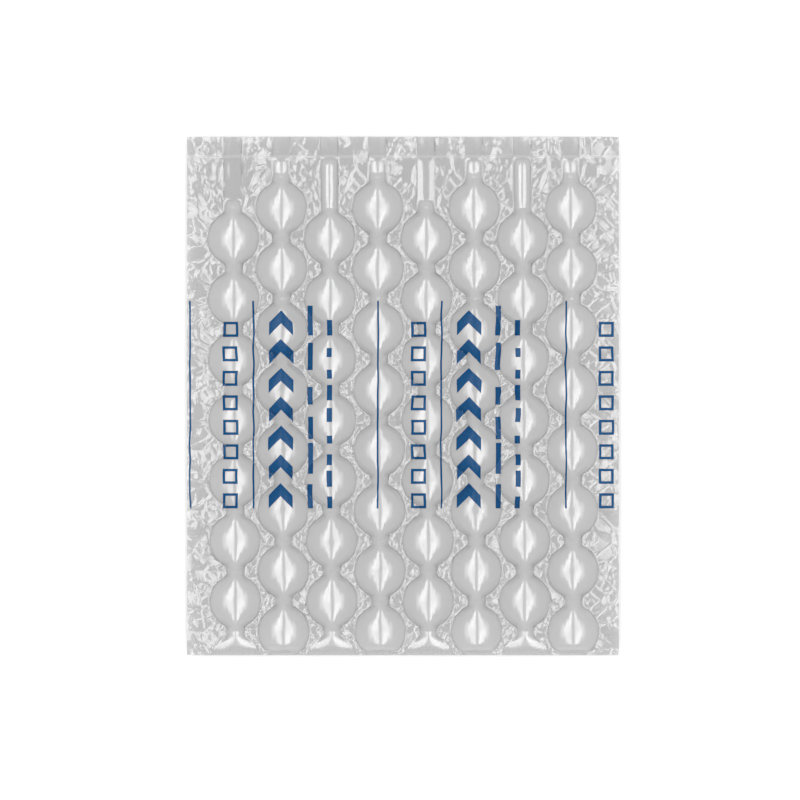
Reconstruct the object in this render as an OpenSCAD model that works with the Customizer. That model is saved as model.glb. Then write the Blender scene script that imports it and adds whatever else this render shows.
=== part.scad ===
// Air cushion film: two plies of film heat-sealed into chains of round bubbles, inflated,
// lying flat. The origin is on the resting plane, under the middle of the sheet, with
// +Z up, +Y towards the fill edge and +X to the right.

/* [Web] */
// Width of the cut sheet
sheet_w = 300; // [220:5:450]
// Length of the cut sheet, from the end seal's edge to the fill edge
sheet_l = 360; // [250:5:600]
// Thickness of one ply of film
ply_t = 0.05; // [0.04:0.01:0.15]
// Least width of flat film beside the outer chains
side_margin = 12; // [8:1:30]

/* [Bubbles] */
// Diameter of a bubble inside its seal
bubble_d = 36; // [30:0.5:38]
// Height of a bubble above the seal plane, and below it
bubble_h = 7.5; // [5:0.25:9]
// Distance between bubbles along a chain
bubble_pitch = 42; // [40:1:60]
// Distance between chains
chain_pitch = 33.5; // [33:0.5:50]
// Lean of the chains against the sheet's long edges, in degrees
chain_lean = 0.35; // [0:0.05:1]
// Depth of the spot that each bubble flattens where it rests
rest_depth = 0.2; // [0.1:0.05:0.6]

/* [Channels] */
// Width of the necks and the fill channels
neck_w = 12; // [8:0.5:16]
// Height of a neck above the seal plane, and below it
neck_h = 3.2; // [2:0.1:4.5]
// Distance from the machine seal to the first bubble of an early chain
inlet_l = 35; // [24:1:60]
// Height of the slack channel mouths outside the machine seal
mouth_h = 0.8; // [0.4:0.1:2]

/* [Seals] */
// Width of the skirt between the machine seal and the fill edge
skirt_l = 14.5; // [8:0.5:30]
// Distance from the end seal to the sheet's lower edge
end_margin = 2.5; // [1.5:0.5:12]
// Width of the machine seal
seal_w = 1.6; // [0.8:0.1:4]
// Height of the machine seal's bead over the film
bead_h = 0.15; // [0.1:0.05:0.4]
// Angle at which the chambers close towards both seals
closing_angle = 40; // [25:1:60]

/* [Puckers] */
// Radius of a pucker where it is widest
pucker_r = 1.1; // [0.5:0.1:2.5]
// Puckers beside each outer bubble
margin_puckers = 5; // [1:1:7]
// Puckers in the skirt between two channel mouths
skirt_puckers = 3; // [1:1:5]

/* [Print] */
// Distance between repeats of the printed pattern across the sheet
print_repeat = 130.5; // [100:0.5:200]
// Left side of the first repeat, from the middle of the sheet
print_left = -125; // [-145:1:0]
// Lower end of the print, from the middle of the sheet
print_low = -78; // [-100:1:20]
// Length of the print along the chains
print_l = 144; // [60:1:160]
// Thickness of the printed layer
ink_t = 0.3; // [0.2:0.05:0.6]
// Gap between neighbouring lines of the print
print_gap = 10; // [4:0.5:14]
// Distance from the first squares to the last rule of a repeat
last_rule_x = 107; // [90:1:125]
// Width of a bold arrowhead
arrow_w = 17; // [8:0.5:24]
// Thickness of an arrowhead's limbs, along the chains
arrow_t = 9; // [4:0.5:12]
// Distance between arrowheads
arrow_pitch = 20; // [14:0.5:36]
// Width of the broken lines
dash_w = 3.6; // [1.5:0.1:6]
// Distance between dashes of the coarse broken line
long_dash_pitch = 24; // [18:1:36]
// Share of that distance that its dashes fill
long_dash_share = 0.7; // [0.4:0.05:0.75]
// Distance between dashes of the fine broken line
short_dash_pitch = 15; // [10:1:17]
// Share of that distance that its dashes fill
short_dash_share = 0.55; // [0.4:0.05:0.75]
// Width of the fine rule
rule_w = 1.2; // [0.8:0.1:3]
// Side of the outlined squares
tile_w = 10.5; // [6:0.5:16]
// Width of the outlined squares' lines
tile_line = 1.8; // [0.8:0.1:3]
// Distance between outlined squares
tile_pitch = 17; // [16:0.5:30]

/* [Hidden] */
$fn = 64;
film_t = 2 * ply_t;
mid_z = bubble_h - rest_depth;
seal_y = sheet_l / 2 - skirt_l;
end_y = end_margin - sheet_l / 2;
chain_count = floor((sheet_w - 2 * side_margin - bubble_d) / chain_pitch) + 1;
bubbles_in_chain = ceil(sheet_l / bubble_pitch) + 1;
bubble_r = (pow(bubble_d / 2, 2) + pow(bubble_h, 2)) / (2 * bubble_h);
pucker_tip_r = film_t / 2 + 0.1;
past = 2; // How far cutting shapes run past what they cut
dash_rhythm = 0.2; // Share by which a dash is longer or shorter than the others
dash_beat = 97; // Degrees of that rhythm from one dash to the next
print_span = sheet_w / 2 - print_left;
repeats = ceil(print_span / print_repeat) + 1;

function chain_x(i) = (i - (chain_count - 1) / 2) * chain_pitch;
function first_bubble_y(i) = seal_y - inlet_l - (i % 2 == 0 ? bubble_pitch / 2 : 0);
function bubble_y(i, k) = first_bubble_y(i) - k * bubble_pitch;
function lens_r(width, height) = (pow(width / 2, 2) + pow(height, 2)) / (2 * height);

// The middle of the sheet stays put while a chain leans
module lean_chain(i) {
    translate([chain_x(i), 0, mid_z])
        rotate([0, 0, chain_lean])
            children();
}

// Two equal round caps, face to face on the seal plane
module bubble(grow) {
    drop = bubble_r - bubble_h;
    r = bubble_r + grow;
    rotate_extrude()
        intersection() {
            translate([0, -drop]) circle(r = r);
            translate([0, drop]) circle(r = r);
            translate([0, -r]) square([r, 2 * r]);
        }
}

// A channel of lens section along Y
module channel(width, height, low_y, high_y, grow) {
    r = lens_r(width, height);
    translate([0, high_y, 0])
        rotate([90, 0, 0])
            linear_extrude(high_y - low_y)
                intersection() {
                    translate([0, height - r]) circle(r = r + grow);
                    translate([0, r - height]) circle(r = r + grow);
                }
}

module chain(i, grow) {
    lean_chain(i) {
        channel(neck_w, neck_h, -sheet_l / 2, sheet_l / 2, grow);
        for (k = [0 : bubbles_in_chain - 1])
            translate([0, bubble_y(i, k), 0]) bubble(grow);
    }
}

// The space between the two seals, closing to nothing at each of them. Its flat underside
// is the surface that the bubbles rest on.
module sealed_space(grow) {
    reach = bubble_h + past;
    up_run = reach / tan(closing_angle);
    down_run = mid_z / tan(closing_angle);
    low = end_y - grow;
    high = seal_y + grow;
    translate([-sheet_w / 2 - past, 0, mid_z])
        rotate([90, 0, 90])
            linear_extrude(sheet_w + 2 * past)
                polygon([
                    [low, 0], [low + up_run, reach], [high - up_run, reach],
                    [high, 0], [high - down_run, -mid_z], [low + down_run, -mid_z]
                ]);
}

module chambers(grow = 0) {
    intersection() {
        for (i = [0 : chain_count - 1]) chain(i, grow);
        sealed_space(grow);
    }
}

module web(grow = 0) {
    translate([-sheet_w / 2, -sheet_l / 2, mid_z - film_t / 2])
        cube([sheet_w, sheet_l, film_t + grow]);
}

module machine_seal() {
    height = film_t + 2 * bead_h;
    translate([-sheet_w / 2, seal_y, mid_z - height / 2])
        cube([sheet_w, seal_w, height]);
}

// The fill channels run on outside the machine seal, slack
module mouths() {
    for (i = [0 : chain_count - 1])
        lean_chain(i)
            channel(neck_w, mouth_h, seal_y, sheet_l / 2 + past, 0);
}

// A gathered fold, widest at its far end
module pucker(x, y, angle, length) {
    translate([x, y, mid_z])
        rotate([0, 0, angle])
            rotate([0, 90, 0])
                cylinder(h = length, r1 = pucker_tip_r, r2 = pucker_r);
}

// Puckers fan out from each outer bubble to the side of the sheet
module margin_fans() {
    wander = 5; // Degrees by which a pucker strays from an even fan
    beat = 137; // Degrees of that from one pucker to the next
    for (side = [-1, 1]) {
        i = side < 0 ? 0 : chain_count - 1;
        edge = sheet_w / 2 - side * chain_x(i);
        fan = 2 * atan(bubble_pitch / 2 / edge);
        for (k = [0 : bubbles_in_chain - 1]) {
            y = bubble_y(i, k);
            x = chain_x(i) - y * sin(chain_lean);
            if (y > end_y + bubble_d / 2)
                for (p = [0 : margin_puckers - 1]) {
                    turn = fan * ((p + 0.5) / margin_puckers - 0.5) + wander * sin(beat * (k + 3 * p));
                    start = bubble_d / 2 + past;
                    angle = side > 0 ? turn : 180 - turn;
                    pucker(x + start * cos(angle), y + start * sin(angle), angle,
                           edge / cos(turn) - start + past);
                }
        }
    }
}

// Puckers rise from the machine seal to the fill edge, between the channel mouths
module skirt_fans() {
    wander = 12; // Degrees by which a pucker strays from upright
    beat = 101; // Degrees of that from one pucker to the next
    for (i = [0 : chain_count - 2])
        for (p = [0 : skirt_puckers - 1]) {
            gap = chain_pitch - neck_w;
            x = chain_x(i) + neck_w / 2 + gap * (p + 1) / (skirt_puckers + 1);
            angle = 90 + wander * sin(beat * (i + 2 * p));
            pucker(x, seal_y + seal_w, angle, skirt_l + past);
        }
}

// What reaches the edges of the sheet is cut off there
module cut_to_sheet() {
    intersection() {
        translate([-sheet_w / 2, -sheet_l / 2, 0]) cube([sheet_w, sheet_l, 2 * mid_z]);
        children();
    }
}

module film() {
    color([0.75, 0.75, 0.74]) {
        web();
        machine_seal();
        chambers();
        cut_to_sheet() {
            union() {
                mouths();
                margin_fans();
                skirt_fans();
            }
        }
    }
}

// An arrowhead of two limbs that points along the chains
module arrowhead() {
    half = arrow_w / 2;
    polygon([
        [0, half + arrow_t / 2], [half, arrow_t / 2], [half, -arrow_t / 2],
        [0, half - arrow_t / 2], [-half, -arrow_t / 2], [-half, arrow_t / 2]
    ]);
}

module outlined_square() {
    difference() {
        square(tile_w, center = true);
        square(tile_w - 2 * tile_line, center = true);
    }
}

// Dashes whose lengths follow a simple rhythm
module broken_line(pitch, share) {
    for (k = [0 : floor(print_l / pitch) - 1])
        translate([0, k * pitch])
            square([dash_w, pitch * (share + dash_rhythm * sin(dash_beat * k))]);
}

// One repeat: squares, a rule, arrowheads, two broken lines and a last rule, side by side
module print_repeat_field() {
    first_rule_x = tile_w + print_gap;
    arrows_x = first_rule_x + rule_w + print_gap;
    lines_x = arrows_x + arrow_w + print_gap;
    more_lines_x = lines_x + dash_w + print_gap;
    for (k = [0 : floor((print_l - tile_w) / tile_pitch)])
        translate([tile_w / 2, tile_w / 2 + k * tile_pitch])
            outlined_square();
    translate([first_rule_x, 0]) square([rule_w, print_l]);
    for (k = [0 : floor((print_l - arrow_w / 2 - arrow_t) / arrow_pitch)])
        translate([arrows_x + arrow_w / 2, arrow_t / 2 + k * arrow_pitch])
            arrowhead();
    translate([lines_x, 0]) broken_line(long_dash_pitch, long_dash_share);
    translate([more_lines_x, 0]) broken_line(short_dash_pitch, short_dash_share);
    translate([last_rule_x, 0]) square([rule_w, print_l]);
}

module print_fields() {
    intersection() {
        translate([-sheet_w / 2, -sheet_l / 2]) square([sheet_w, sheet_l]);
        for (k = [-1 : repeats - 1])
            translate([print_left + k * print_repeat, print_low])
                print_repeat_field();
    }
}

// A thin layer on the upper side that follows the bubbles
module print() {
    color([0.02, 0.3, 0.58])
        difference() {
            intersection() {
                translate([0, 0, mid_z]) linear_extrude(2 * bubble_h) print_fields();
                union() {
                    web(ink_t);
                    chambers(ink_t);
                }
            }
            film();
        }
}

film();
print();
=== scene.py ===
import bpy, math, time
import numpy as np
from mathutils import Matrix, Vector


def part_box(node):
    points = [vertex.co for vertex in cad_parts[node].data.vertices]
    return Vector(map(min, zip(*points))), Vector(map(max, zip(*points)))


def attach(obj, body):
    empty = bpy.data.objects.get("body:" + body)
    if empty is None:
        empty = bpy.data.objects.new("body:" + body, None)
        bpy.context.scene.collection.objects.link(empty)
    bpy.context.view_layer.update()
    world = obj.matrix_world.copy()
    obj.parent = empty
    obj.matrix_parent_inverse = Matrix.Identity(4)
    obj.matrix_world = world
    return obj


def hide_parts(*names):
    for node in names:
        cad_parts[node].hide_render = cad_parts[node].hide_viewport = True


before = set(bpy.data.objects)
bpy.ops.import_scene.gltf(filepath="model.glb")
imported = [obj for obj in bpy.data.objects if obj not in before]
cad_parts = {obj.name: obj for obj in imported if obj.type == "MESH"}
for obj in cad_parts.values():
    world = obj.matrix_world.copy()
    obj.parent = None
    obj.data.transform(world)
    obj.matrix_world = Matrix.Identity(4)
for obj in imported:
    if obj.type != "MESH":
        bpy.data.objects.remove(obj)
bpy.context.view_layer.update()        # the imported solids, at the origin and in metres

mm = 0.001
tiny = 0.05              # mm, the step over which a slope is measured
repeatAfter = 256        # whole steps after which a noise begins again
startTime = time.time()


def report(words):
    print("%5.1f s  %s" % (time.time() - startTime, words), flush=True)


# The web of film, in millimetres on the sheet
sheetLow, sheetHigh = (np.array(corner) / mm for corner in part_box("film"))
web = dict(
    width=sheetHigh[0] - sheetLow[0],
    length=sheetHigh[1] - sheetLow[1],
    height=sheetHigh[2] - sheetLow[2],
    restDepth=0.2,          # flattened under each bubble
    bubbleRadius=18.0,
    bubbleHeight=7.5,       # above the seal plane
    bubblePitch=42.0,
    chainPitch=33.5,
    chains=8,
    chainLean=0.35,         # degrees
    neckHalfWidth=6.0,
    neckHeight=3.2,
    shoulder=4.0,           # how softly a bubble's outline runs into a neck's
    skirt=14.5,
    endMargin=2.5,
    inlet=35.0,
    inletHeights=(0.1, 1.6, 3.0, 1.5, 0.5, 1.7, 2.8, 1.5),  # of the chains, from the left
    sealRise=6.0,           # how far from the machine seal a chamber reaches its full height
    endRise=5.0,            # and from the end seal
)
web["midHeight"] = (web["height"] + web["restDepth"]) / 2 - web["restDepth"]
web["sealY"] = web["length"] / 2 - web["skirt"]
web["endY"] = web["endMargin"] - web["length"] / 2
web["bubblesInChain"] = math.ceil(web["length"] / web["bubblePitch"]) + 1


def smoothStep(value, low, high):
    # from 0 at low to 1 at high, level at both ends
    share = np.clip((value - low) / (high - low), 0, 1)
    return share * share * (3 - 2 * share)


def smoothMax(a, b, soft):
    # the larger of two values, rounded over where they are about as large
    share = np.clip(0.5 + 0.5 * (a - b) / soft, 0, 1)
    return b * (1 - share) + a * share + soft * share * (1 - share)


def chainPlace(x, y):
    # the chain and bubble that each place belongs to, and how far it lies from that bubble's
    # centre, across and along the chain
    lean = math.radians(web["chainLean"])
    best = [np.full(x.shape, 1e6), np.full(x.shape, 1e6), np.zeros(x.shape, int), np.zeros(x.shape, int)]
    closest = np.full(x.shape, 1e6)
    for i in range(web["chains"]):
        offset = x - (i - (web["chains"] - 1) / 2) * web["chainPitch"]
        across = offset * math.cos(lean) + y * math.sin(lean)
        along = y * math.cos(lean) - offset * math.sin(lean)
        late = web["bubblePitch"] / 2 if i % 2 == 0 else 0
        first = web["sealY"] - web["inlet"] - late
        step = np.maximum(np.round((first - along) / web["bubblePitch"]), 0)
        along = along - (first - step * web["bubblePitch"])
        gap = np.abs(across) - halfWidth(along)
        closer = gap < closest
        closest = np.where(closer, gap, closest)
        found = [across, along, np.full(x.shape, i), step.astype(int)]
        best = [np.where(closer, new, old) for new, old in zip(found, best)]
    return best


def halfWidth(along):
    # of a chain: a round bubble that runs into its necks
    circle = np.sqrt(np.maximum(web["bubbleRadius"] ** 2 - along ** 2, 0))
    return smoothMax(circle, web["neckHalfWidth"], web["shoulder"])


def channelDistance(x, y):
    # signed distance to a chain's outline, negative inside: the difference in width times the
    # cosine of the outline's slope
    across, along = chainPlace(x, y)[:2]
    slope = (halfWidth(along + tiny) - halfWidth(along - tiny)) / (2 * tiny)
    return (np.abs(across) - halfWidth(along)) / np.sqrt(1 + slope ** 2)


def chamberDistance(x, y):
    # as channelDistance, closed by the machine seal and by the end seal
    return np.maximum(channelDistance(x, y), np.maximum(y - web["sealY"], web["endY"] - y))


# How the blown-up bubbles differ from each other and from a perfect shape
bulge = dict(
    heightSpread=0.04,      # share
    highest=1.02,           # share of a bubble's height that none passes
    inletBlend=0.5,         # mm over which a bubble's crest runs into its inlet's
    inletFrom=24.0, inletTo=27.0,   # mm from the first bubble's centre, where the inlet begins
    inletPower=0.6,         # how much fuller an inlet is across than a parabola
    lean=0.45,              # mm that a bubble's crest is pushed up on one side
    dentSize=13.0,
    dent=0.09,
    puckerSpacing=3.0,      # of the gathers at a bubble's rim
    puckerLength=8.0,
    pucker=0.16,
    puckerReach=5.0,
    fold=0.3,               # depth of the fold across a neck
    foldReach=1.0,
    slackShape=0.8,         # of a cut bubble's fall to the end seal: 1 is straight
)


def chamberHeight(x, y):
    # the front ply's height over the seal plane, in the sealed chambers: a parabola across each
    # chain, highest on the bubbles and with a fold where two bubbles meet in a neck
    across, along, i, k = chainPlace(x, y)
    rng = np.random.default_rng(5)
    grown, leanX, leanY = rng.uniform(-1, 1, (3, web["chains"], web["bubblesInChain"]))[:, i, k]
    halfPitch = web["bubblePitch"] / 2
    part = np.abs(along) / halfPitch
    crest = web["bubbleHeight"] - (web["bubbleHeight"] - web["neckHeight"]) * part ** 2
    crest = smoothMax(crest, np.array(web["inletHeights"])[i], bulge["inletBlend"])
    # where the end seal cuts a bubble above its middle, its crest falls from the neck to the seal
    endGap = y - web["endY"]
    neckGap = np.maximum(endGap - along + halfPitch, 1)
    slack = web["neckHeight"] * np.clip(endGap / neckGap, 0, 1) ** bulge["slackShape"]
    crest = np.where(along > endGap, np.minimum(crest, slack), crest)
    crest = crest - bulge["fold"] * np.exp(-((part - 1) * halfPitch / bulge["foldReach"]) ** 2)
    part = np.clip(part, 0, 1)
    crest = crest * (1 + bulge["heightSpread"] * grown * (1 - part))
    side = np.clip(across / halfWidth(along), -1, 1)
    inInlet = smoothStep(along, bulge["inletFrom"], bulge["inletTo"])
    dome = 1 - np.abs(side) ** (2 + bulge["inletPower"] * inInlet)
    tilt = bulge["lean"] * (leanX * side + leanY * along / web["bubbleRadius"]) * (1 - part)
    dentX, dentY = x / bulge["dentSize"], y / bulge["dentSize"]
    dent = bulge["dent"] * smoothNoise(dentX, dentY, 31)
    dent = dent + bulge["dent"] / 2 * smoothNoise(2 * dentX, 2 * dentY, 32)
    depth = -channelDistance(x, y)
    turned = np.arctan2(along, across) * web["bubbleRadius"] / bulge["puckerSpacing"]
    pucker = bulge["pucker"] * smoothNoise(turned, depth / bulge["puckerLength"], 33)
    pucker = pucker * smoothStep(depth, 0, 1) * (1 - smoothStep(depth, 1, bulge["puckerReach"]))
    below = np.clip((web["sealY"] - y) / web["sealRise"], 0, 1)
    above = np.clip(endGap / web["endRise"], 0, 1)
    height = ((crest + tilt + dent) * dome + pucker) * (1 - (1 - below) ** 2) * (1 - (1 - above) ** 2)
    return np.where(depth > 0, np.clip(height, 0, web["bubbleHeight"] * bulge["highest"]), 0)


def filmGrid(across, along):
    # an even grid over the sheet, whose nodes beside a chamber's outline are moved onto it
    x, y = np.meshgrid(np.linspace(-web["width"] / 2, web["width"] / 2, across),
                       np.linspace(-web["length"] / 2, web["length"] / 2, along))
    gap = chamberDistance(x, y)
    pace = x[0, 1] - x[0, 0]
    slopeX = (chamberDistance(x + tiny, y) - chamberDistance(x - tiny, y)) / (2 * tiny)
    slopeY = (chamberDistance(x, y + tiny) - chamberDistance(x, y - tiny)) / (2 * tiny)
    # the distance is a true one, so that a node can be moved by it, where its slope is about 1
    slope = np.hypot(slopeX, slopeY)
    beside = (np.abs(gap) < pace / 2) & (slope > plies["leastSlope"]) & (slope < plies["mostSlope"])
    beside[[0, -1]] = False
    beside[:, [0, -1]] = False
    x, y = np.where(beside, x - gap * slopeX, x), np.where(beside, y - gap * slopeY, y)
    # and the row of nodes beside a neck's fold onto the fold
    place, bubble = chainPlace(x, y)[1::2]
    off = web["bubblePitch"] / 2 - np.abs(place)
    folded = (np.abs(off) <= (y[1, 0] - y[0, 0]) / 2) & ~beside
    folded = folded & (chamberDistance(x, y) < -plies["foldInset"]) & (bubble < web["bubblesInChain"])
    return x, np.where(folded, y + off * np.sign(place), y), folded


def readGrid(field, column, row):
    # the value of each layer of field at fractional places, weighted from the four nodes around
    c = np.clip(column.astype(int), 0, field.shape[2] - 2)
    r = np.clip(row.astype(int), 0, field.shape[1] - 2)
    fc, fr = column - c, row - r
    near = field[:, r, c] * (1 - fc) + field[:, r, c + 1] * fc
    far = field[:, r + 1, c] * (1 - fc) + field[:, r + 1, c + 1] * fc
    return near * (1 - fr) + far * fr


# Sharp straight creases in the welded film, in millimetres
creases = dict(
    fanSpacing=6.5,         # round a bubble, between the creases that fan out from it
    fanLength=19.0,
    width=0.3,              # of a crease, as a share of the spacing
    fanHeight=0.22,
    start=(0.1, 0.9),       # mm from a chamber, between which the creases rise
    skirtFrom=-14.0, skirtTo=2.0,   # mm past the machine seal, where the upright creases begin
    skirtSpacing=6.5,
    skirtLength=11.0,
    skirtLean=0.3,
    skirtHeight=0.22,
    tumbleSize=8.5,         # of the creases that run anywhere
    tumbleHeight=0.25,
    calmSize=13.0,          # of the places that stay flat
    calm=(-0.2, 0.4),       # values of that noise between which the creases rise
    swell=0.1,              # slow waves in the margins and the skirt
    swellSize=20.0,
    swellStart=(1.0, 9.0),
    sideWave=0.5,           # height of the waves that the side margins end in
    sideWaveSize=9.0,
    sideWaveReach=16.0,
    sideWaveStart=(0.0, 4.0),
    sideWaveLength=60.0,
    sideWaveShift=50.0,     # keeps the two margins' waves unlike
    topWave=0.35,           # and of the skirt's
    topWaveLength=40.0,
    mouth=0.1,              # height of the open channels outside the machine seal, in each ply
    mouthRise=3.0,
    bead=0.15,              # of the machine seal
    beadWidth=1.6,
)


def smoothNoise(u, v, layer):
    # from -1 to 1, blended between one random value at each whole u and v
    lattice = np.random.default_rng(layer).uniform(-1, 1, (repeatAfter, repeatAfter))
    column, row = np.floor(u).astype(int), np.floor(v).astype(int)
    fu, fv = u - column, v - row
    fu, fv = fu * fu * (3 - 2 * fu), fv * fv * (3 - 2 * fv)
    c, nextC = column % repeatAfter, (column + 1) % repeatAfter
    r, nextR = row % repeatAfter, (row + 1) % repeatAfter
    low = lattice[r, c] * (1 - fu) + lattice[r, nextC] * fu
    high = lattice[nextR, c] * (1 - fu) + lattice[nextR, nextC] * fu
    return low * (1 - fv) + high * fv


def ridges(u, v, layer):
    # sharp straight ridges halfway between scattered points, of which each square of one by one
    # has one
    place = np.random.default_rng(layer).uniform(0.1, 0.9, (2, repeatAfter, repeatAfter))
    column, row = np.floor(u).astype(int), np.floor(v).astype(int)
    nearest = second = np.full(u.shape, 9.0)
    for c in (column - 1, column, column + 1):
        for r in (row - 1, row, row + 1):
            pointU, pointV = place[:, r % repeatAfter, c % repeatAfter]
            away = np.hypot(u - c - pointU, v - r - pointV)
            second = np.minimum(second, np.maximum(nearest, away))
            nearest = np.minimum(nearest, away)
    return np.maximum(1 - (second - nearest) / creases["width"], 0)


def creaseHeight(x, y):
    # in the welded film: fanned out from the bubbles, upright in the skirt, and tumbled
    across, along = chainPlace(x, y)[:2]
    plan = creases
    away = np.hypot(across, along)
    turned = np.arctan2(along, across) * web["bubbleRadius"]
    inSkirt = smoothStep(y - web["sealY"], plan["skirtFrom"], plan["skirtTo"])
    fan = ridges(turned / plan["fanSpacing"], away / plan["fanLength"], 21)
    upright = ridges((x + plan["skirtLean"] * y) / plan["skirtSpacing"], y / plan["skirtLength"], 22)
    tumble = ridges(x / plan["tumbleSize"], y / plan["tumbleSize"], 23)
    lively = smoothStep(smoothNoise(x / plan["calmSize"], y / plan["calmSize"], 24), *plan["calm"])
    height = fan * plan["fanHeight"] * (1 - inSkirt) + upright * plan["skirtHeight"] * inSkirt
    height = np.maximum(height, tumble * plan["tumbleHeight"]) * lively
    swell = plan["swell"] * smoothNoise(x / plan["swellSize"], y / plan["swellSize"], 25)
    gap = channelDistance(x, y)
    outwards = smoothStep(np.abs(x), web["width"] / 2 - plan["sideWaveReach"], web["width"] / 2)
    waveX = np.sign(x) * plan["sideWaveShift"] + x / plan["sideWaveLength"]
    side = plan["sideWave"] * smoothNoise(waveX, y / plan["sideWaveSize"], 26) * outwards
    upwards = smoothStep(y, web["sealY"] + plan["beadWidth"], web["length"] / 2)
    top = plan["topWave"] * smoothNoise(x / plan["sideWaveSize"], y / plan["topWaveLength"], 27) * upwards
    return (height * smoothStep(gap, *plan["start"]) + swell * smoothStep(gap, *plan["swellStart"])
            + side * smoothStep(gap, *plan["sideWaveStart"]) + top)


def mouthHeight(x, y):
    # the channels run on outside the machine seal, slack
    past = y - web["sealY"] - creases["beadWidth"]
    inside = -channelDistance(x, y) / web["neckHalfWidth"]
    return creases["mouth"] * smoothStep(past, 0, creases["mouthRise"]) * smoothStep(inside, 0, 1)


def blowUp(across, along):
    # the nodes of the two plies and of the flat film, and which of them lie on a fold
    x, y, folded = filmGrid(across, along)
    height = chamberHeight(x, y) + mouthHeight(x, y)
    halfBead = creases["beadWidth"] / 2
    onSeal = np.abs(y - web["sealY"] - halfBead) < halfBead
    height = height + np.where(onSeal, creases["bead"], 0)
    crease = creaseHeight(x, y)
    front = np.stack([x, y, crease + height])
    back = np.stack([x, y, crease - np.minimum(height, web["midHeight"] - plies["halfThickness"])])
    return front, back, np.stack([x, y]), folded


plies = dict(
    across=289, along=345,  # nodes
    halfThickness=0.05,     # mm between a ply's surface and the seal plane, where they are welded
    leastSlope=0.8, mostSlope=1.2,  # of the distance to an outline, where a node is moved onto it
    foldInset=0.5,          # mm that a fold's nodes lie inside the outline, at least
)


def gridFaces(rows, columns):
    # the four corners of each face between neighbouring rows and columns of nodes
    corner = np.arange(rows * columns).reshape(rows, columns)
    return np.stack([corner[:-1, :-1], corner[:-1, 1:], corner[1:, 1:], corner[1:, :-1]], -1).reshape(-1, 4)


def makeMesh(name, points, quads, uv, fan=None):
    # points and uv have one row for each vertex, fan has one for each corner of each quad
    mesh = bpy.data.meshes.new(name)
    mesh.vertices.add(len(points))
    mesh.vertices.foreach_set("co", points.astype(np.float32).ravel())
    mesh.loops.add(quads.size)
    mesh.loops.foreach_set("vertex_index", quads.astype(np.int32).ravel())
    mesh.polygons.add(len(quads))
    mesh.polygons.foreach_set("loop_start", np.arange(0, quads.size, 4, dtype=np.int32))
    mesh.polygons.foreach_set("loop_total", np.full(len(quads), 4, dtype=np.int32))
    mesh.polygons.foreach_set("use_smooth", np.ones(len(quads), dtype=bool))
    layer = mesh.uv_layers.new(name="flatFilm")
    layer.data.foreach_set("uv", uv[quads.ravel()].astype(np.float32).ravel())
    if fan is not None:
        layer = mesh.uv_layers.new(name="fan")
        layer.data.foreach_set("uv", fan.astype(np.float32).ravel())
    mesh.update()
    mesh.validate()
    piece = bpy.data.objects.new(name, mesh)
    bpy.context.scene.collection.objects.link(piece)
    return piece


def fanMap(flat, quads):
    # round the nearest bubble and away from it, taken from each quad's own middle so that no
    # quad is torn between two bubbles
    corners = flat.reshape(2, -1)[:, quads].astype(float)
    middle = corners.mean(axis=2)
    across, along = chainPlace(*middle)[:2]
    angle = np.arctan2(along, across)
    u = corners[0] - middle[0][:, None] + across[:, None]
    v = corners[1] - middle[1][:, None] + along[:, None]
    turn = np.arctan2(v, u) - angle[:, None]
    turn = angle[:, None] + np.arctan2(np.sin(turn), np.cos(turn))
    return np.stack([turn * web["bubbleRadius"], np.hypot(u, v)], -1).reshape(-1, 2) * mm


def sharpenFolds(mesh, folded):
    # an edge along a row is sharp where both its nodes lie on a fold
    ends = np.empty(2 * len(mesh.edges), dtype=np.int32)
    mesh.edges.foreach_get("vertices", ends)
    first, second = ends.reshape(-1, 2).T
    onFold = folded.ravel()
    sharp = onFold[first] & onFold[second] & (np.abs(first - second) == 1)
    mesh.attributes.new("sharp_edge", "BOOLEAN", "EDGE").data.foreach_set("value", sharp)


def plyPiece(name, ply, flat, gap, folded, side):
    # one ply as a surface, half the film's thickness off the seal plane
    rows, columns = ply.shape[1:]
    points = ply.reshape(3, -1).T.astype(float)
    points[:, 2] += web["midHeight"] + side * plies["halfThickness"]
    quads = gridFaces(rows, columns)
    if side < 0:
        quads = quads[:, ::-1]
    uv = flat.reshape(2, -1).T * mm
    piece = makeMesh(name, points * mm, quads, uv, fanMap(flat, quads))
    sharpenFolds(piece.data, folded)
    weld = piece.data.attributes.new("weld", "FLOAT", "POINT")
    weld.data.foreach_set("value", gap.ravel().astype(np.float32))
    return piece


# The printed pattern, in millimetres on the sheet
inkPlan = dict(
    low=-78.0, length=144.0, left=-125.0, repeat=130.5, gap=10.0, lastRule=107.0,
    firstRepeat=-1, repeats=4,
    tile=10.5, tileLine=1.8, tilePitch=17.0,
    arrow=17.0, arrowLimb=9.0, arrowPitch=20.0,
    dash=3.6, rule=1.2, longStep=24.0, shortStep=15.0,
    longShare=0.7, shortShare=0.55,     # of a step that its dash fills
    dashRhythm=0.2,         # share by which a dash is longer or shorter than the others
    dashBeat=97.0,          # degrees of that rhythm from one dash to the next
    grain=0.4,              # spacing of the ink's own nodes
    lift=0.1,               # over the ply
    drift=0.5,              # how far the blown-up film pulls the ink aside
    driftSize=11.0,
)


def patch(corners):
    # a four-sided patch as a grid of points between its corners, about one grain apart
    a, b, c, d = (np.array(corner, float) for corner in corners)
    reach = max(np.linalg.norm(b - a), np.linalg.norm(c - d))
    rise = max(np.linalg.norm(d - a), np.linalg.norm(c - b))
    u, v = np.meshgrid(np.linspace(0, 1, max(2, int(reach / inkPlan["grain"]) + 1)),
                       np.linspace(0, 1, max(2, int(rise / inkPlan["grain"]) + 1)))
    u, v = u[..., None], v[..., None]
    return (a * (1 - u) + b * u) * (1 - v) + (d * (1 - u) + c * u) * v


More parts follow.
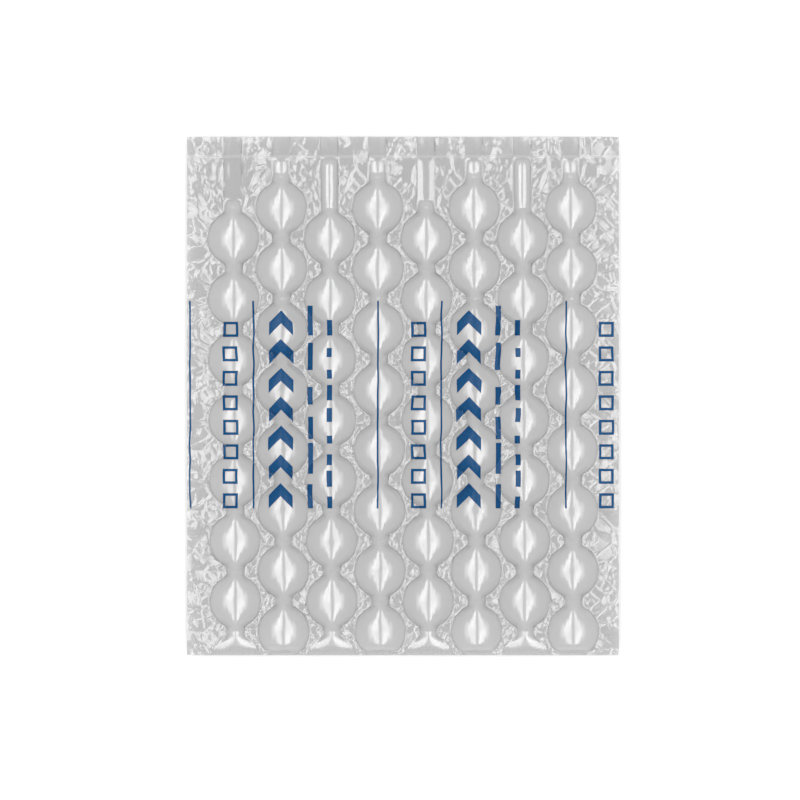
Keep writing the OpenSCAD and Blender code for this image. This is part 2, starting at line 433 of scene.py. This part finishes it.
def block(x, y, width, height):
    # an upright oblong from its lower left corner
    return patch([(x, y), (x + width, y), (x + width, y + height), (x, y + height)])


def outlinedSquare(x, y):
    # four mitred sides
    out, line = inkPlan["tile"], inkPlan["tileLine"]
    outer = [(x, y), (x + out, y), (x + out, y + out), (x, y + out)]
    inner = [(x + line, y + line), (x + out - line, y + line),
             (x + out - line, y + out - line), (x + line, y + out - line)]
    return [patch([outer[k], outer[(k + 1) % 4], inner[(k + 1) % 4], inner[k]]) for k in range(4)]


def arrowhead(x, y):
    # two limbs that rise to the middle
    half, limb = inkPlan["arrow"] / 2, inkPlan["arrowLimb"]
    left = patch([(x, y - limb / 2), (x + half, y + half - limb / 2),
                  (x + half, y + half + limb / 2), (x, y + limb / 2)])
    right = patch([(x + half, y + half - limb / 2), (x + 2 * half, y - limb / 2),
                   (x + 2 * half, y + limb / 2), (x + half, y + half + limb / 2)])
    return [left, right]


def brokenLine(x, y, step, share):
    # dashes whose lengths follow a simple rhythm
    beat, rhythm = np.radians(inkPlan["dashBeat"]), inkPlan["dashRhythm"]
    count = int(inkPlan["length"] // step)
    return [block(x, y + k * step, inkPlan["dash"], step * (share + rhythm * math.sin(beat * k)))
            for k in range(count)]


def inkRepeat(x, y):
    # squares, a rule, arrowheads, two broken lines and a last rule, side by side
    plan = inkPlan
    ruleX = x + plan["tile"] + plan["gap"]
    arrowX = ruleX + plan["rule"] + plan["gap"]
    lineX = arrowX + plan["arrow"] + plan["gap"]
    tiles = int((plan["length"] - plan["tile"]) / plan["tilePitch"]) + 1
    arrows = int((plan["length"] - plan["arrow"] / 2 - plan["arrowLimb"]) / plan["arrowPitch"]) + 1
    patches = []
    for k in range(tiles):
        patches += outlinedSquare(x, y + k * plan["tilePitch"])
    patches.append(block(ruleX, y, plan["rule"], plan["length"]))
    for k in range(arrows):
        patches += arrowhead(arrowX, y + plan["arrowLimb"] / 2 + k * plan["arrowPitch"])
    patches += brokenLine(lineX, y, plan["longStep"], plan["longShare"])
    patches += brokenLine(lineX + plan["dash"] + plan["gap"], y, plan["shortStep"], plan["shortShare"])
    patches.append(block(x + plan["lastRule"], y, plan["rule"], plan["length"]))
    return patches


def inkPiece(front):
    # each patch is laid on the front ply, at the same place of the film
    rows, columns = front.shape[1:]
    points, quads, uvs = [], [], []
    total = 0
    edge = web["width"] / 2
    for k in range(inkPlan["repeats"]):
        left = inkPlan["left"] + (inkPlan["firstRepeat"] + k) * inkPlan["repeat"]
        for spot in inkRepeat(left, inkPlan["low"]):
            if spot[..., 0].min() >= edge or spot[..., 0].max() <= -edge:
                continue
            drift = inkPlan["driftSize"]
            spot[..., 0] += inkPlan["drift"] * smoothNoise(spot[..., 0] / drift, spot[..., 1] / drift, 41)
            spot[..., 0] = np.clip(spot[..., 0], -edge, edge)
            # the film's left and lower edges are at minus a half of its width and length
            column = (spot[..., 0] / web["width"] + 0.5) * (columns - 1)
            row = (spot[..., 1] / web["length"] + 0.5) * (rows - 1)
            place = readGrid(front, column, row)
            place[2] += web["midHeight"] + plies["halfThickness"] + inkPlan["lift"]
            points.append(place.reshape(3, -1).T)
            uvs.append(spot.reshape(-1, 2))
            quads.append(gridFaces(*spot.shape[:2]) + total)
            total += spot.shape[0] * spot.shape[1]
    points, quads, uvs = np.concatenate(points), np.concatenate(quads), np.concatenate(uvs)
    return makeMesh("ink", points * mm, quads, uvs * mm)


def newMaterial(name):
    # a material with its nodes, its links and its one shader
    material = bpy.data.materials.new(name)
    material.use_nodes = True
    nodes, links = material.node_tree.nodes, material.node_tree.links
    shader = nodes["Principled BSDF"]
    return material, nodes, links, shader


filmLook = dict(
    colour=0.46,            # of the blown-up film: painted light, paler than the flat film
    # the flat welded film: painted shade, darker than the blown-up film, standing in for how the lamps
    # light it
    flatShadedColour=0.35,
    flatRise=0.0015,        # metres off the seal plane over which the one becomes the other
    flatFrom=0.0002,        # and metres off it at which that begins
    rimPaintedShade=0.6,           # share of its colour left in the painted shade line where a chamber meets the weld
    rimWidth=0.0005,
    rimPlace=0.25,          # mm outside the chamber's outline
    sealColour=0.07,        # by which the machine seal is paler
    sealBlur=1.4,           # share of half the seal's width at which that ends
    alpha=0.55,
    roughness=0.13,
    ior=1.85,
    specular=1.0,
    fanFacets=(190.0, 55.0),    # facets in a metre round a bubble, and away from it
    fanTilt=2.0,                # mm that a facet rises across its width, at most
    tumbleFacets=(180.0, 180.0),
    tumbleTilt=1.8,
    edgeWidth=0.14,             # of the crease round a facet, as a share of its width
    edgeDepth=0.15,             # mm
    wander=0.2,                 # how crooked the creases are, as a share of a facet
    steepness=4.0,              # leaves most facets level and tilts a few of them
    calm=75.0,                  # changes in a metre between fanned and tumbled facets
    fanCalm=(0.35, 0.55),       # values of that noise between which the fanned facets come in
    tumbleCalm=(0.46, 0.32),    # and the tumbled ones
    start=(0.2, 0.6),           # mm from a chamber, between which the facets rise
)


def mathNode(nodes, links, operation, *values):
    # each value is a number or another node's output
    node = nodes.new("ShaderNodeMath")
    node.operation = operation
    for socket, value in zip(node.inputs, values):
        if hasattr(value, "links"):
            links.new(value, socket)
        else:
            socket.default_value = value
    return node.outputs[0]


def rangeNode(nodes, links, value, fromMin, fromMax, toMin, toMax):
    # value moved from one range to another, held at its ends
    node = nodes.new("ShaderNodeMapRange")
    ends = {"From Min": fromMin, "From Max": fromMax, "To Min": toMin, "To Max": toMax}
    for name, number in ends.items():
        node.inputs[name].default_value = number
    links.new(value, node.inputs["Value"])
    return node.outputs["Result"]


def noiseNode(nodes, links, vector, detail, output="Fac"):
    # flat noise with about one change in each unit of the vector
    node = nodes.new("ShaderNodeTexNoise")
    node.noise_dimensions = "2D"
    node.inputs["Scale"].default_value = 1.0
    node.inputs["Detail"].default_value = detail
    links.new(vector, node.inputs["Vector"])
    return node.outputs[output]


def vectorNode(nodes, links, operation, a, b):
    # as mathNode, for three values at once
    node = nodes.new("ShaderNodeVectorMath")
    node.operation = operation
    for socket, value in zip(node.inputs, (a, b)):
        if hasattr(value, "links"):
            links.new(value, socket)
        else:
            socket.default_value = value
    return node.outputs["Value" if operation == "DOT_PRODUCT" else "Vector"]


def mapNode(nodes, name):
    # the place on the film before it was blown up, or round the nearest bubble and away from it
    node = nodes.new("ShaderNodeUVMap")
    node.uv_map = name
    return node.outputs["UV"]


def voronoiNode(nodes, links, vector, feature):
    # one cell in each unit of the vector, round a point at a random place
    node = nodes.new("ShaderNodeTexVoronoi")
    node.voronoi_dimensions = "2D"
    node.feature = feature
    node.inputs["Scale"].default_value = 1.0
    links.new(vector, node.inputs["Vector"])
    return node


def facetHeight(nodes, links, uv, counts, tilt, look):
    # flat facets, each tilted its own way, with a sharp crease round it, in mm: the place in the
    # facet times its tilt, which is the cube of a random value and so mostly small
    middle = (0.5, 0.5, 0.5)
    place = vectorNode(nodes, links, "MULTIPLY", uv, counts + (0.0,))
    crooked = vectorNode(nodes, links, "SUBTRACT", noiseNode(nodes, links, place, 1, "Color"), middle)
    crooked = vectorNode(nodes, links, "MULTIPLY", crooked, (look["wander"], look["wander"], 0.0))
    place = vectorNode(nodes, links, "ADD", place, crooked)
    cell = voronoiNode(nodes, links, place, "F1")
    offset = vectorNode(nodes, links, "SUBTRACT", place, cell.outputs["Position"])
    lean = vectorNode(nodes, links, "SUBTRACT", cell.outputs["Color"], middle)
    steep = vectorNode(nodes, links, "MULTIPLY", lean, (look["steepness"],) * 3)
    lean = vectorNode(nodes, links, "MULTIPLY", lean, vectorNode(nodes, links, "MULTIPLY", steep, lean))
    slope = mathNode(nodes, links, "MULTIPLY", vectorNode(nodes, links, "DOT_PRODUCT", offset, lean), tilt)
    border = voronoiNode(nodes, links, place, "DISTANCE_TO_EDGE")
    edge = rangeNode(nodes, links, border.outputs["Distance"], 0, look["edgeWidth"], look["edgeDepth"], 0)
    return mathNode(nodes, links, "ADD", slope, edge)


def filmBump(nodes, links, weldDistance, look):
    # fine facets in the welded film: some fan out from the bubbles, others lie anywhere
    flat, fan = mapNode(nodes, "flatFilm"), mapNode(nodes, "fan")
    fanned = facetHeight(nodes, links, fan, look["fanFacets"], look["fanTilt"], look)
    tumbled = facetHeight(nodes, links, flat, look["tumbleFacets"], look["tumbleTilt"], look)
    calmPlace = vectorNode(nodes, links, "MULTIPLY", flat, (look["calm"], look["calm"], 0.0))
    calmNoise = noiseNode(nodes, links, calmPlace, 0)
    fanShare = rangeNode(nodes, links, calmNoise, *look["fanCalm"], 0, 1)
    tumbleShare = rangeNode(nodes, links, calmNoise, *look["tumbleCalm"], 0, 1)
    height = mathNode(nodes, links, "ADD", mathNode(nodes, links, "MULTIPLY", fanned, fanShare),
                      mathNode(nodes, links, "MULTIPLY", tumbled, tumbleShare))
    welded = rangeNode(nodes, links, weldDistance, *look["start"], 0, 1)
    bump = nodes.new("ShaderNodeBump")
    bump.inputs["Strength"].default_value = 1.0
    bump.inputs["Distance"].default_value = mm
    links.new(mathNode(nodes, links, "MULTIPLY", height, welded), bump.inputs["Height"])
    return bump.outputs["Normal"]


def filmColour(nodes, links, weldDistance, look):
    # paler where the film is blown up, as painted light, with a thin darker rim of painted shade round
    # each chamber, which fades between a half and one and a half of its width, and a pale machine seal
    # painted shade: a thin darker line just outside each chamber's outline, where its steep side meets the
    # weld
    off = mathNode(nodes, links, "SUBTRACT", weldDistance, look["rimPlace"])
    off = mathNode(nodes, links, "ABSOLUTE", mathNode(nodes, links, "MULTIPLY", off, mm))
    rim = rangeNode(nodes, links, off, look["rimWidth"] / 2, look["rimWidth"] * 1.5, look["rimPaintedShade"], 1)
    place = nodes.new("ShaderNodeSeparateXYZ")
    links.new(nodes.new("ShaderNodeTexCoord").outputs["Object"], place.inputs[0])
    # painted light and shade: from the darker flat colour on the seal plane to the paler blown-up colour
    # off it
    rise = mathNode(nodes, links, "SUBTRACT", place.outputs["Z"], web["midHeight"] * mm)
    paintedLightTone = rangeNode(nodes, links, mathNode(nodes, links, "ABSOLUTE", rise), look["flatFrom"],
                     look["flatRise"], look["flatShadedColour"], look["colour"])
    paintedLightTone = mathNode(nodes, links, "MULTIPLY", paintedLightTone, rim)
    place = nodes.new("ShaderNodeSeparateXYZ")
    links.new(mapNode(nodes, "flatFilm"), place.inputs[0])
    sealMiddle = (web["sealY"] + creases["beadWidth"] / 2) * mm
    off = mathNode(nodes, links, "SUBTRACT", place.outputs["Y"], sealMiddle)
    off = mathNode(nodes, links, "ABSOLUTE", off)
    reach = creases["beadWidth"] / 2 * mm
    seal = rangeNode(nodes, links, off, reach, reach * look["sealBlur"], look["sealColour"], 0)
    return mathNode(nodes, links, "ADD", paintedLightTone, seal)


def clearFilm(name):
    # thin clear plastic that is a little hazy: part of what lies behind it shows through
    material, nodes, links, shader = newMaterial(name)
    weld = nodes.new("ShaderNodeAttribute")
    weld.attribute_name = "weld"
    # the base colour holds painted light and painted shade, besides the film's own grey and its pale seal
    links.new(filmColour(nodes, links, weld.outputs["Fac"], filmLook), shader.inputs["Base Color"])
    shader.inputs["Alpha"].default_value = filmLook["alpha"]
    shader.inputs["Roughness"].default_value = filmLook["roughness"]
    shader.inputs["IOR"].default_value = filmLook["ior"]
    shader.inputs["Specular IOR Level"].default_value = filmLook["specular"]
    links.new(filmBump(nodes, links, weld.outputs["Fac"], filmLook), shader.inputs["Normal"])
    return material


inkLook = dict(
    colour=(0.0008, 0.046, 0.135),
    dark=0.75, light=1.3,   # shares of the colour between which it varies
    darkAt=0.3, lightAt=0.7,
    grain=900.0,            # changes in a metre
    grainDetail=3.0,
    roughness=0.25,
    specular=0.2,
)


def blueInk(name):
    # printing ink, a little uneven
    material, nodes, links, shader = newMaterial(name)
    noise = nodes.new("ShaderNodeTexNoise")
    noise.inputs["Scale"].default_value = inkLook["grain"]
    noise.inputs["Detail"].default_value = inkLook["grainDetail"]
    links.new(mapNode(nodes, "flatFilm"), noise.inputs["Vector"])
    tint = nodes.new("ShaderNodeValToRGB")
    for stop, shade in zip(tint.color_ramp.elements, ("dark", "light")):
        stop.position = inkLook[shade + "At"]
        stop.color = tuple(inkLook[shade] * c for c in inkLook["colour"]) + (1,)
    links.new(noise.outputs["Fac"], tint.inputs["Fac"])
    links.new(tint.outputs["Color"], shader.inputs["Base Color"])
    shader.inputs["Roughness"].default_value = inkLook["roughness"]
    shader.inputs["Specular IOR Level"].default_value = inkLook["specular"]
    return material


stageSet = dict(
    floorSize=60.0,
    floorDrop=0.0004,
    floorColour=0.86,
    floorRoughness=0.9,
    lampHeight=12.0,
    # each lamp's two sides and two ends, in degrees off the vertical, and its radiance
    lamps=(
        (-33, -6, 0, 11, 3.2), (-28, -6, 11, 21, 3.2), (-19, -6, 21, 32, 3.2),
        (-33, -6, -11, 0, 2.4), (-28, -6, -21, -11, 2.4), (-19, -6, -32, -21, 2.4),
        (6, 33, 0, 11, 2.4), (6, 28, 11, 21, 2.4), (6, 19, 21, 32, 2.4),
        (6, 33, -11, 0, 3.2), (6, 28, -21, -11, 3.2), (6, 19, -32, -21, 3.2),
        (-43, -33, -18, 18, 1.2), (33, 43, -18, 18, 1.2),
    ),
    worldStrength=0.85,
    lens=500.0,             # mm
    sensor=36.0,
    photoScale=300.0 / 432.0,   # mm a pixel: the sheet's width over its width in the picture
    photoSize=800.0,
    photoCentre=(403.0, 396.0),     # the sheet's centre in the picture
)


def addFloor():
    # a dull pale square under the sheet
    mesh = bpy.data.meshes.new("floor")
    half = stageSet["floorSize"] / 2
    corners = [(x, y, -stageSet["floorDrop"])
               for x, y in ((-half, -half), (half, -half), (half, half), (-half, half))]
    mesh.from_pydata(corners, [], [(0, 1, 2, 3)])
    floor = bpy.data.objects.new("floor", mesh)
    bpy.context.scene.collection.objects.link(floor)
    material, nodes, links, shader = newMaterial("paleFloor")
    shader.inputs["Base Color"].default_value = (stageSet["floorColour"],) * 3 + (1,)
    shader.inputs["Roughness"].default_value = stageSet["floorRoughness"]
    shader.inputs["Specular IOR Level"].default_value = 0.0
    mesh.materials.append(material)


def addLamp(left, right, low, high, radiance):
    # one part of the two bright fields beside the camera that each bubble mirrors as two lobes
    height = stageSet["lampHeight"]
    left, right, low, high = (height * math.tan(math.radians(angle)) for angle in (left, right, low, high))
    lamp = bpy.data.lights.new("lamp", "AREA")
    lamp.shape = "RECTANGLE"
    lamp.size, lamp.size_y = right - left, high - low
    lamp.energy = radiance * math.pi * lamp.size * lamp.size_y
    holder = bpy.data.objects.new("lamp", lamp)
    holder.location = ((left + right) / 2, (low + high) / 2, height)
    bpy.context.scene.collection.objects.link(holder)


def addWorld():
    # even white light from all round
    world = bpy.data.worlds.new("room")
    world.use_nodes = True
    background = world.node_tree.nodes["Background"]
    background.inputs["Color"].default_value = (1, 1, 1, 1)
    background.inputs["Strength"].default_value = stageSet["worldStrength"]
    bpy.context.scene.world = world


def addCamera():
    # straight above, so that the sheet fills the same part of the frame as in the photograph
    camera = bpy.data.cameras.new("camera")
    camera.lens, camera.sensor_width = stageSet["lens"], stageSet["sensor"]
    frameWidth = stageSet["photoSize"] * stageSet["photoScale"]
    distance = frameWidth * mm * stageSet["lens"] / stageSet["sensor"]
    middle = stageSet["photoSize"] / 2
    x = (middle - stageSet["photoCentre"][0]) * stageSet["photoScale"]
    y = (stageSet["photoCentre"][1] - middle) * stageSet["photoScale"]
    view = bpy.data.objects.new("camera", camera)
    view.location = (x * mm, y * mm, web["midHeight"] * mm + distance)
    bpy.context.scene.collection.objects.link(view)
    bpy.context.scene.camera = view


addCamera()
addFloor()
for lamp in stageSet["lamps"]:
    addLamp(*lamp)
addWorld()
bpy.context.scene.view_settings.view_transform = "Standard"
report("stage set")

front, back, flat, folded = blowUp(plies["across"], plies["along"])
gap = channelDistance(*flat)
report("film blown up and creased")
frontPly = plyPiece("front_ply", front, flat, gap, folded, 1)
backPly = plyPiece("back_ply", back, flat, gap, folded, -1)
ink = inkPiece(front)
film = clearFilm("clearFilm")
for piece in (frontPly, backPly):
    piece.data.materials.append(film)
ink.data.materials.append(blueInk("blueInk"))
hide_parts("film")
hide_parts("print")
for piece in (frontPly, backPly, ink):
    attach(piece, "root")
report("pieces made")
